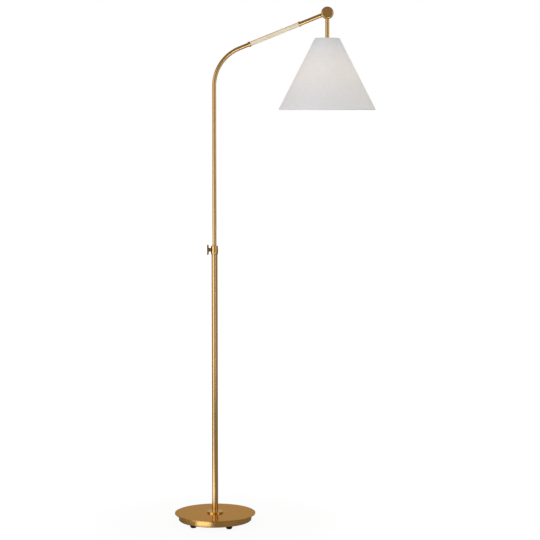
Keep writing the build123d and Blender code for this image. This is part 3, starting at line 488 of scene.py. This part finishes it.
# %% Give every CAD node its finish
finish_of_slot = {
    "satin_brass": pole_brass, "polished_brass": column_brass, "raw_brass": plain_brass, "cast_iron": iron,
    "zinc_steel": zinc, "spring_steel": oiled, "shade_wire": epoxy, "black_rubber": rubber, "nylon": nylon,
    "lead_sheath": sheath, "phenolic": phenolic, "fibre": fibre, "bulb_metal": aluminium,
    "frosted_glass": glass}
finish_of_node = {
    "base_plate": base_brass, "base_drum": drum_brass, "base_flange": flange_brass,
    "clamp_knob": knob_brass, "knuckle_front": disc_brass, "knuckle_rear": disc_brass,
    "hinge_cap": disc_brass, "lower_ferrule": ferrule_brass, "upper_ferrule": ferrule_brass,
    "socket_cap": socket_brass, "socket_shell": socket_brass}
for name, node in frame["nodes"].items():
    slot = node.data.materials[0].name
    if slot in finish_of_slot:
        node.material_slots[0].material = finish_of_node.get(name, finish_of_slot[slot])
print(len(frame["nodes"]), "nodes finished")

# %% [markdown]
# ## Surfaces from numbers
# A new piece is a grid of points: one number runs round it and the other along it, and the whole grid is
# computed at once. The faces join neighbouring points, and where the grid meets itself they close it. Where
# a piece ends in a tip, its last ring has shrunk to that tip. The mesh then gets its outside from its
# volume: the sum over all triangles of a corner dotted with the cross product of the two others is positive
# when the faces look outwards.

# %% Grid meshes
def grid_faces(rows, columns, close_rows, close_columns):
    """Corner numbers of the quads between neighbouring points of a grid, closed in one or both directions."""
    row = np.arange(rows if close_rows else rows - 1)[:, None]
    column = np.arange(columns if close_columns else columns - 1)[None, :]
    next_row = (row + 1) % rows
    next_column = (column + 1) % columns
    corners = [row * columns + column, row * columns + next_column, next_row * columns + next_column,
               next_row * columns + column]
    return np.stack(np.broadcast_arrays(*corners), axis=-1).reshape(-1, 4)


def mesh_piece(name, points, faces, material, smooth_angle=35.0, **attributes):
    """A new object from points and quads: faces outwards, smooth below the angle, with vector attributes."""
    centred = points - points.mean(axis=0)
    a, b, c, d = (centred[faces[:, i]] for i in range(4))
    volume = (a * np.cross(b, c)).sum() + (a * np.cross(c, d)).sum()
    ordered = faces if volume > 0 else faces[:, ::-1]
    mesh = bpy.data.meshes.new(name)
    mesh.from_pydata(points.tolist(), [], ordered.tolist())
    for key, values in attributes.items():
        mesh.attributes.new(key, "FLOAT_VECTOR", "POINT").data.foreach_set(
            "vector", values.astype(np.float32).ravel())
    mesh.shade_smooth()
    mesh.set_sharp_from_angle(angle=math.radians(smooth_angle))
    mesh.materials.append(material)
    piece = bpy.data.objects.new(name, mesh)
    bpy.context.scene.collection.objects.link(piece)
    print(f"{name}: {len(faces)} faces, {abs(volume) / 6 * 1e6:.1f} cm3")
    return piece


# %% [markdown]
# ## The bent tube
# The mast and the arm are one brass tube of 12.7 mm, bent on a former. Its middle line is a straight run,
# an arc and a second run. At each length along it the tube's section is a circle, carried on without
# twisting, and the real length and the circle together also give a straightened tube, which the brush marks
# follow round the bend. The wall has two skins: the grid goes up the outside, over the rim and back down
# the inside, and closes on itself. Two grooves near the foot hold the spring rings.
#
# The upper end is cut to sit round the hinge disc. A point that lies the distance q off the tube's middle
# line in the plane of the bend ends where the disc's clearance circle of 19.9 mm begins, at the square root
# of the circle's radius squared less q squared before the hinge.

# %% Middle line of the tube
MAST_R, MAST_BORE_R, BEND_R, SADDLE_R = 6.35 * MM, 5.15 * MM, 126.6 * MM, 19.9 * MM
mast_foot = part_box("mast_tube")[0].z
bend_turn = math.pi / 2 - ARM_ANGLE
bend_run = BEND_R * math.tan(bend_turn / 2)
upright = CORNER_Z - bend_run - mast_foot
arc = BEND_R * bend_turn
slant = ARM_LENGTH - bend_run
hinge_length = upright + arc + slant


def along_mast(length):
    """Point on the middle line and its direction's angle from upright, at each length from the tube's foot.

    Upright run first, then an arc whose angle is length past the run over its radius, then the slanting run.
    """
    turned = np.clip((length - upright) / BEND_R, 0, bend_turn)
    beyond = np.clip(length - upright - arc, 0, None)
    below = np.clip(length, None, upright)
    x = BEND_R * (1 - np.cos(turned)) + beyond * math.cos(ARM_ANGLE)
    z = mast_foot + below + BEND_R * np.sin(turned) + beyond * math.sin(ARM_ANGLE)
    return x, z, turned


def tube_points(length, angle, radius):
    """Points round the middle line: one way is Y, the other is square to the direction in the bend's plane.

    Returns the points and the same points on a straightened tube.
    """
    x, z, turned = along_mast(length)
    inward = radius * np.cos(angle)
    sideways = radius * np.sin(angle)
    bent = np.broadcast_arrays(x + inward * np.cos(turned), sideways, z - inward * np.sin(turned))
    straight = np.broadcast_arrays(inward, sideways, length)
    return np.stack(bent, -1).reshape(-1, 3), np.stack(straight, -1).reshape(-1, 3)


print(f"upright run {upright:.4f} m, arc {arc:.4f} m, slanting run {slant:.4f} m")

# %% [markdown]
# The rows of the grid stand where the tube changes: at the chamfered foot, on both sides of each groove,
# densely round the bend and thinly along the straight runs.

# %% Mast and arm tube
ROUND_TUBE = 48
CHAMFER, EDGE = 0.3 * MM, 0.02 * MM
CLIP, GROOVE = 0.94 * MM, 0.35 * MM
LAST_ROW = 0.86
clip_low, clip_high = (corner.z - mast_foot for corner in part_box("guide_clips"))
around = np.linspace(0, 2 * np.pi, ROUND_TUBE, endpoint=False)[None, :]


def saddle_cut(radius):
    """Length at which a skin of the tube ends, at each angle: the hinge less the circle's half chord."""
    return hinge_length - np.sqrt(SADDLE_R ** 2 - (radius * np.cos(around)) ** 2)


def even_rows(stations):
    """One row of the grid for each length, the same all the way round."""
    return np.repeat(stations[:, None], ROUND_TUBE, axis=1)


foot_stations = [0, CHAMFER, clip_low - EDGE, clip_low, clip_low + CLIP, clip_low + CLIP + EDGE,
                 clip_high - CLIP - EDGE, clip_high - CLIP, clip_high, clip_high + EDGE]
cut_in = np.array([CHAMFER, 0, 0, GROOVE, GROOVE, 0, 0, GROOVE, GROOVE, 0])
outer_stations = np.concatenate([
    foot_stations,
    np.linspace(clip_high + 10 * MM, upright, 12),
    upright + np.linspace(0, arc, 41)[1:],
    upright + arc + slant * np.linspace(0, LAST_ROW, 10)[1:]])
inner_stations = outer_stations[::-1]
outer_radius = MAST_R - np.concatenate([cut_in, np.zeros(len(outer_stations) - len(cut_in))])
lengths = np.concatenate([even_rows(outer_stations), saddle_cut(MAST_R), saddle_cut(MAST_BORE_R),
                          even_rows(inner_stations)])
radii = np.concatenate([outer_radius, [MAST_R, MAST_BORE_R], np.full(len(inner_stations), MAST_BORE_R)])
points, straight = tube_points(lengths, around, radii[:, None])
faces = grid_faces(len(lengths), ROUND_TUBE, True, True)
mast = mesh_piece("mast", points, faces, mast_brass, straight=straight)
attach(mast, "mast")
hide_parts("mast_tube")

# %% [markdown]
# ## The leather sleeve
# A strip of natural leather is wrapped round the arm where the hand takes it. It is pale and matt, with
# fine pores and shallow creases. Its upper side is painted darker and tan: painted shade. The creases
# get a little painted shade too. The pattern reads the straightened tube, so it runs along the arm.

# %% Leather finish
leather, tree, shader = new_material("leather_natural_wrapped", {
    "IOR": 1.45, "Sheen Weight": 0.08, "Sheen Roughness": 0.5})
place = add_node(tree, "ShaderNodeAttribute", {"attribute_name": "straight"})
# Leather's pores are about 0.3 mm apart: the cells are 0.8 mm, so that they show.
pores = add_node(tree, "ShaderNodeTexVoronoi",
                 {"feature": "SMOOTH_F1", "Scale": 1 / (0.8 * MM), "Smoothness": 0.6},
                 {"Vector": place.outputs["Vector"]})
creases = add_node(tree, "ShaderNodeMapping", {"vector_type": "TEXTURE", "Scale": (9 * MM, 9 * MM, 4 * MM)},
                   {"Vector": place.outputs["Vector"]})
folds = add_node(tree, "ShaderNodeTexNoise", {"Scale": 1.0, "Detail": 4.0}, {"Vector": creases.outputs[0]})
stain = add_node(tree, "ShaderNodeTexNoise", {"Scale": 30.0, "Detail": 2.0},
                 {"Vector": place.outputs["Vector"]})
handled = add_node(tree, "ShaderNodeMapRange", {"From Min": 0.35, "From Max": 0.7},
                   {"Value": stain.outputs[0]})
tone = add_node(tree, "ShaderNodeMix", {"data_type": "RGBA", 6: linear("#fbeed2"), 7: linear("#f5e3c0")},
                {0: handled.outputs[0]})
# The upper side is painted darker and tan, as painted shade.
# On the straightened tube the arm's upper side is the side of negative X.
side = add_node(tree, "ShaderNodeSeparateXYZ", links={0: place.outputs["Vector"]})
top_shade_share = add_node(tree, "ShaderNodeMapRange",
                 {"interpolation_type": "SMOOTHSTEP", "From Min": -3.0 * MM, "From Max": -6.6 * MM},
                 {"Value": side.outputs["X"]})
top_shaded = add_node(tree, "ShaderNodeMix", {"data_type": "RGBA", 7: linear("#c9a470")},
                {0: top_shade_share.outputs[0], 6: tone.outputs[2]})
# The creases get a little painted shade: the folds' low places are up to 4 percent darker.
shadow = add_node(tree, "ShaderNodeMapRange", {"From Min": 0.3, "From Max": 0.6, "To Min": 0.96},
                  {"Value": folds.outputs[0]})
crease_shaded = add_node(tree, "ShaderNodeMix", {"data_type": "RGBA", "blend_type": "MULTIPLY", 0: 1.0},
                   {6: top_shaded.outputs[2], 7: shadow.outputs[0]})
rough = add_node(tree, "ShaderNodeMapRange", {"To Min": 0.46, "To Max": 0.68}, {"Value": folds.outputs[0]})
skin = add_node(tree, "ShaderNodeMath", {"operation": "MULTIPLY_ADD", 1: 0.5},
                {0: pores.outputs["Distance"], 2: folds.outputs[0]})
bump = add_node(tree, "ShaderNodeBump", {"Strength": 0.10, "Distance": 0.02 * MM},
                {"Height": skin.outputs[0]})
tree.links.new(crease_shaded.outputs[2], shader.inputs["Base Color"])
tree.links.new(rough.outputs[0], shader.inputs["Roughness"])
tree.links.new(bump.outputs[0], shader.inputs["Normal"])
print("leather made")

# %% [markdown]
# The strip is wetted, pulled together along the arm's underside and sewn there. The grid is the same kind
# as the tube's: up the outside, over a rounded end and back along the inside. Beside the seam the edges
# swell a little, and between them they leave a groove, which is a pair of bell curves in the angle round
# the arm. Slow waves keep the strip from looking machined.

# %% Leather sleeve
SLEEVE_START, SLEEVE_END = 122.8 * MM, 284.0 * MM
SLEEVE_R, SLEEVE_BORE = 7.02 * MM, 6.37 * MM
ROUND_SLEEVE = 96
SWELL, SWELL_AT, SWELL_WIDE = 0.16 * MM, 0.20, 0.10
SEAM_DEPTH, SEAM_WIDE = 0.42 * MM, 0.09
ROUNDING, ROUNDING_SHARE = 0.30 * MM, 0.004
WAVE = 0.02 * MM
corner_length = upright + arc - bend_run
around = np.linspace(0, 2 * np.pi, ROUND_SLEEVE, endpoint=False)[None, :]
from_seam = np.abs((around + np.pi) % (2 * np.pi) - np.pi)
stations = np.linspace(0, 1, 60)[:, None]
waves = WAVE * np.sin(stations * 21 + 2 * np.cos(around)) * np.sin(stations * 47 + around)
swell = SWELL * np.exp(-((from_seam - SWELL_AT) / SWELL_WIDE) ** 2)
seam = SEAM_DEPTH * np.exp(-(from_seam / SEAM_WIDE) ** 2)
rounding = ROUNDING * np.exp(-np.minimum(stations, 1 - stations) / ROUNDING_SHARE)
outside = SLEEVE_R + waves + swell - seam - rounding
radii = np.concatenate([outside, np.full((2, ROUND_SLEEVE), SLEEVE_BORE)])
shares = np.concatenate([stations, [[1.0], [0.0]]])
lengths = corner_length + SLEEVE_START + (SLEEVE_END - SLEEVE_START) * shares
points, straight = tube_points(lengths, around, radii)
faces = grid_faces(len(lengths), ROUND_SLEEVE, True, True)
sleeve = mesh_piece("sleeve", points, faces, leather, straight=straight)
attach(sleeve, "mast")
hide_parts("leather_sleeve")

# %% [markdown]
# The seam is closed with waxed linen thread. Each stitch is a short arch that goes over the groove and dips
# into the leather on both sides. One arch is a small tube of ten by six faces, thinned to a tip at both
# ends, and the row of stitches is the same arch moved along the arm.

# %% Thread finish
thread, tree, shader = new_material("thread_waxed_linen", {
    "Roughness": 0.5, "IOR": 1.45, "Sheen Weight": 0.2})
place = add_node(tree, "ShaderNodeAttribute", {"attribute_name": "straight"})
twist = add_node(tree, "ShaderNodeTexWave",
                 {"Scale": 1 / (1.2 * MM), "Distortion": 0.5, "bands_direction": "DIAGONAL"},
                 {"Vector": place.outputs["Vector"]})
tone = add_node(tree, "ShaderNodeMix", {"data_type": "RGBA", 6: linear("#cdbb96"), 7: linear("#e6d8b8")},
                {0: twist.outputs[0]})
bump = add_node(tree, "ShaderNodeBump", {"Strength": 0.5, "Distance": 0.06 * MM},
                {"Height": twist.outputs[0]})
tree.links.new(tone.outputs[2], shader.inputs["Base Color"])
tree.links.new(bump.outputs[0], shader.inputs["Normal"])
print("thread made")

# %% [markdown]
# A number called step runs from -1 to 1 over an arch. The arch's height above the arm falls with the fourth
# power of step. Its thickness is the square root of one less the eighth power, so both ends shrink to a
# tip. It crosses the seam a little aslant.

# %% Stitches of the seam
STITCH_PITCH, THREAD_R = 4.2 * MM, 0.34 * MM
STITCH_LEAN, STITCH_RISE, STITCH_DIP = 0.9 * MM, 0.20 * MM, 0.75 * MM
STITCH_REACH = 0.26
SEAM_END = 4 * MM
ARCH_STEPS, ARCH_ROUND = 11, 6
count = int((SLEEVE_END - SLEEVE_START - 2 * SEAM_END) / STITCH_PITCH)
step = np.linspace(-1, 1, ARCH_STEPS)[:, None]
ring = np.linspace(0, 2 * np.pi, ARCH_ROUND, endpoint=False)[None, :]
thin = THREAD_R * np.sqrt(np.clip(1 - step ** 8, 0.0, 1))
arch_angle = STITCH_REACH * step
arch_radius = SLEEVE_R + STITCH_RISE - STITCH_DIP * step ** 4 + thin * np.cos(ring)
arch_length = STITCH_LEAN * step + thin * np.sin(ring)
places = corner_length + SLEEVE_START + SEAM_END + 1 * MM + STITCH_PITCH * np.arange(count)
points, straight = tube_points(places[:, None, None] + arch_length, arch_angle, arch_radius)
one = grid_faces(ARCH_STEPS, ARCH_ROUND, False, True)
faces = (one[None] + ARCH_STEPS * ARCH_ROUND * np.arange(count)[:, None, None]).reshape(-1, 4)
stitches = mesh_piece("sleeve_stitches", points, faces, thread, 60.0, straight=straight)
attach(stitches, "mast")

# %% [markdown]
# ## The shade
# A drum of this kind is fine linen glued to a stiff clear backing. The pair is cut as one flat sector of a
# ring, rolled into a cone and glued where its ends overlap, at the back. The cone can be laid flat again
# without stretching, so the weave is drawn on the flat cut: the map of the surface is the cut itself.
#
# The light inside shows through as a warm patch at the bulb's height, on an even part that fades out near
# the top. It is drawn as a weak glow of the cloth, because light that gathers inside a real shade takes
# very long to compute.

# %% Linen and backing finishes
BULB_DROP, GLOW_WIDE = 0.175, 0.062
EVEN_FROM_DROP, EVEN_FULL_DROP, EVEN_GLOW = 0.078, 0.115, 0.75
THREAD_GAP, THREAD_RUN = 1.1 * MM, 26 * MM


def woven(name, light, dark, glow_strength, through):
    """Linen on the flat cut: two sets of threads that cross, thick places in single threads, and a warm glow.

    The glow is a bell curve of the height about the bulb's middle, plus the even part. through is the share
    of the light that passes.
    """
    material, tree, shader = new_material(name, {
        "Roughness": 0.86, "IOR": 1.46, "Sheen Weight": 0.18, "Sheen Roughness": 0.45,
        "Emission Color": linear("#ffdfae")})
    cut = add_node(tree, "ShaderNodeUVMap", {"uv_map": "flat_cut"})
    # Shade linen has about 16 threads a centimetre: these are 1.1 mm apart, so that they show.
    weave = []
    for long_way in ((THREAD_GAP, THREAD_RUN, 1), (THREAD_RUN, THREAD_GAP, 1)):
        lay = add_node(tree, "ShaderNodeMapping", {"vector_type": "TEXTURE", "Scale": long_way},
                       {"Vector": cut.outputs[0]})
        threads = add_node(tree, "ShaderNodeTexNoise",
                           {"noise_dimensions": "2D", "Scale": 1.0, "Detail": 2.0},
                           {"Vector": lay.outputs[0]})
        weave.append(threads.outputs[0])
    crossed = add_node(tree, "ShaderNodeMath", {"operation": "ADD"}, {0: weave[0], 1: weave[1]})
    slubs = add_node(tree, "ShaderNodeMapRange", {"From Min": 0.75, "From Max": 1.30},
                     {"Value": crossed.outputs[0]})
    tone = add_node(tree, "ShaderNodeMix", {"data_type": "RGBA", 6: linear(dark), 7: linear(light)},
                    {0: slubs.outputs[0]})
    bump = add_node(tree, "ShaderNodeBump", {"Strength": 0.5, "Distance": 0.08 * MM},
                    {"Height": slubs.outputs[0]})
    place = add_node(tree, "ShaderNodeTexCoord")
    height = add_node(tree, "ShaderNodeSeparateXYZ", links={0: place.outputs["Object"]})
    off = add_node(tree, "ShaderNodeMath", {"operation": "SUBTRACT", 1: float(HINGE[2] - BULB_DROP)},
                   {0: height.outputs["Z"]})
    ratio = add_node(tree, "ShaderNodeMath", {"operation": "DIVIDE", 1: GLOW_WIDE}, {0: off.outputs[0]})
    square = add_node(tree, "ShaderNodeMath", {"operation": "POWER", 1: 2.0}, {0: ratio.outputs[0]})
    minus = add_node(tree, "ShaderNodeMath", {"operation": "MULTIPLY", 1: -1.0}, {0: square.outputs[0]})
    bell = add_node(tree, "ShaderNodeMath", {"operation": "EXPONENT"}, {0: minus.outputs[0]})
    even = add_node(tree, "ShaderNodeMapRange",
                    {"interpolation_type": "SMOOTHSTEP", "From Min": float(HINGE[2] - EVEN_FROM_DROP),
                     "From Max": float(HINGE[2] - EVEN_FULL_DROP), "To Min": 0.0, "To Max": EVEN_GLOW},
                    {"Value": height.outputs["Z"]})
    share = add_node(tree, "ShaderNodeMath", {"operation": "ADD"}, {0: bell.outputs[0], 1: even.outputs[0]})
    glow = add_node(tree, "ShaderNodeMath", {"operation": "MULTIPLY", 1: glow_strength},
                    {0: share.outputs[0]})
    tree.links.new(tone.outputs[2], shader.inputs["Base Color"])
    tree.links.new(bump.outputs[0], shader.inputs["Normal"])
    tree.links.new(glow.outputs[0], shader.inputs["Emission Strength"])
    back_light = add_node(tree, "ShaderNodeBsdfTranslucent", {"Color": linear("#f3ead9")})
    both = add_node(tree, "ShaderNodeMixShader", {0: through},
                    {1: shader.outputs[0], 2: back_light.outputs[0]})
    tree.links.new(both.outputs[0], tree.nodes["Material Output"].inputs["Surface"])
    return material


linen = woven("linen_woven_white", "#f3f3f3", "#e7e7e7", glow_strength=0.07, through=0.12)
# The backing is clear, so the linen behind it shows through, weave and all.
backing = woven("styrene_backing", "#f6f3ec", "#efece4", glow_strength=0.14, through=0.12)
print("linen and backing made")

# %% [markdown]
# Wire rings stiffen both edges, and the linen goes over each ring and is tucked in behind it, which gives
# the edges their soft roll. The linen is one sheet that follows a line from the tuck inside the top edge,
# round the upper ring, down the cone and round the lower ring. The line is measured from the upper ring:
# down the cone, and out from it.

# %% Section of the shade
SHADE_TOP_R, SHADE_BOTTOM_R = 38.0 * MM, 152.0 * MM
WIRE_R, RING_DROP = 1.6 * MM, 2.2 * MM
CLOTH, BACKING, GLUE = 0.5 * MM, 0.4 * MM, 0.05 * MM
COVER_DEPTH = WIRE_R + 1.1 * MM
TUCK_RADIUS = WIRE_R + CLOTH + 0.1 * MM
LINING_SHORT = 1.0 * MM
shade_low, shade_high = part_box("shade_cover")
SHADE_HEIGHT = shade_high.z - shade_low.z
slope = math.atan2(SHADE_BOTTOM_R - SHADE_TOP_R, SHADE_HEIGHT)
down = np.array([math.sin(slope), -math.cos(slope)])
out = np.array([math.cos(slope), math.sin(slope)])
apex_slant = SHADE_TOP_R / math.sin(slope)
under_edge = np.array([SHADE_TOP_R + RING_DROP * math.tan(slope), shade_high.z - RING_DROP])
ring_top = under_edge - COVER_DEPTH * out
ring_gap = (SHADE_HEIGHT - 2 * RING_DROP) / math.cos(slope)


def edge_roll(sign):
    """The line round one ring, from the cone over the edge to the tuck, as places down the cone and out.

    An arc of 212 degrees whose radius shrinks in its first 60 degrees from the cover's depth to the wire with
    its cloth, then a straight tuck.
    """
    turn = np.radians(np.linspace(90, 302, 19))
    shrink = np.clip((turn - turn[0]) / math.radians(60), 0, 1)
    radius = COVER_DEPTH + (TUCK_RADIUS - COVER_DEPTH) * shrink
    roll = np.stack([radius * np.cos(turn), radius * np.sin(turn)], -1)
    tuck = np.array([[6.0 * MM, 1.2 * MM], [7.5 * MM, 1.2 * MM]])
    return np.concatenate([roll, tuck]) * np.array([sign, 1])


cone = np.stack([np.linspace(0, ring_gap, 26), np.full(26, COVER_DEPTH)], -1)
top_roll = edge_roll(1)[::-1]
bottom_roll = edge_roll(-1) + np.array([ring_gap, 0])
sheet_line = np.concatenate([top_roll[:-1], cone, bottom_roll[1:]])
lining_places = np.linspace(LINING_SHORT, ring_gap - LINING_SHORT, 26)
lining_line = np.stack([lining_places, np.full(26, COVER_DEPTH - CLOTH - GLUE)], -1)
print("slope", round(math.degrees(slope), 2), "degrees,", len(sheet_line), "places on the linen's line")

# %% [markdown]
# The line is carried round the shade's axis. The linen is a little longer round than the cone, and at the
# back its last centimetre climbs over its first. Solidify gives both sheets their thickness afterwards.

# %% Shade sheet and lining
def cone_sheet(name, line, overlap, lift, material):
    """Carry a line round the shade's axis, from the back seam to the back seam, as an open sheet.

    Place on the line gives radius and height. The last stretch, overlap long at the rim, climbs by lift over
    the first. The flat map has the distance from the cone's tip as radius and the angle times the sine of the
    slope.
    """
    columns = 193
    reach = overlap / SHADE_BOTTOM_R
    angle = np.linspace(-np.pi, np.pi + reach, columns)[None, :]
    climb = np.interp(angle, [np.pi - reach, np.pi - 0.4 * reach], [0, lift])
    profile = ring_top + line[:, :1] * down + line[:, 1:] * out
    radius = profile[:, :1] + climb * out[0]
    height = profile[:, 1:] + climb * out[1]
    # Angle 0 is the front: x grows with its sine and y falls with its cosine, about the stem's axis.
    places = np.broadcast_arrays(HINGE[0] + radius * np.sin(angle), -radius * np.cos(angle), height)
    points = np.stack(places, -1).reshape(-1, 3)
    travelled = np.concatenate([[0], np.cumsum(np.linalg.norm(np.diff(line, axis=0), axis=1))])
    from_tip = (apex_slant + travelled - travelled[len(line) // 2] + ring_gap / 2)[:, None]
    fan = angle * math.sin(slope)
    cut = np.stack(np.broadcast_arrays(from_tip * np.sin(fan), from_tip * np.cos(fan)), -1).reshape(-1, 2)
    piece = mesh_piece(name, points, grid_faces(len(line), columns, False, False), material, 60.0)
    corner_of = np.zeros(len(piece.data.loops), np.int32)
    piece.data.loops.foreach_get("vertex_index", corner_of)
    flat_cut = piece.data.uv_layers.new(name="flat_cut")
    flat_cut.data.foreach_set("uv", cut[corner_of].astype(np.float32).ravel())
    return piece


def thicken(piece, thickness):
    """Give a sheet its wall on the side away from where its faces look, with a rim."""
    wall = piece.modifiers.new("wall", "SOLIDIFY")
    wall.thickness = thickness
    wall.offset = -1.0
    wall.use_even_offset = True
    wall.use_rim = True


shade = cone_sheet("shade", sheet_line, 12 * MM, 0.55 * MM, linen)
lining = cone_sheet("shade_lining", lining_line, 0.0, 0.0, backing)
thicken(shade, CLOTH)
thicken(lining, BACKING)
for piece in (shade, lining):
    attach(piece, "head")
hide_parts("shade_cover")
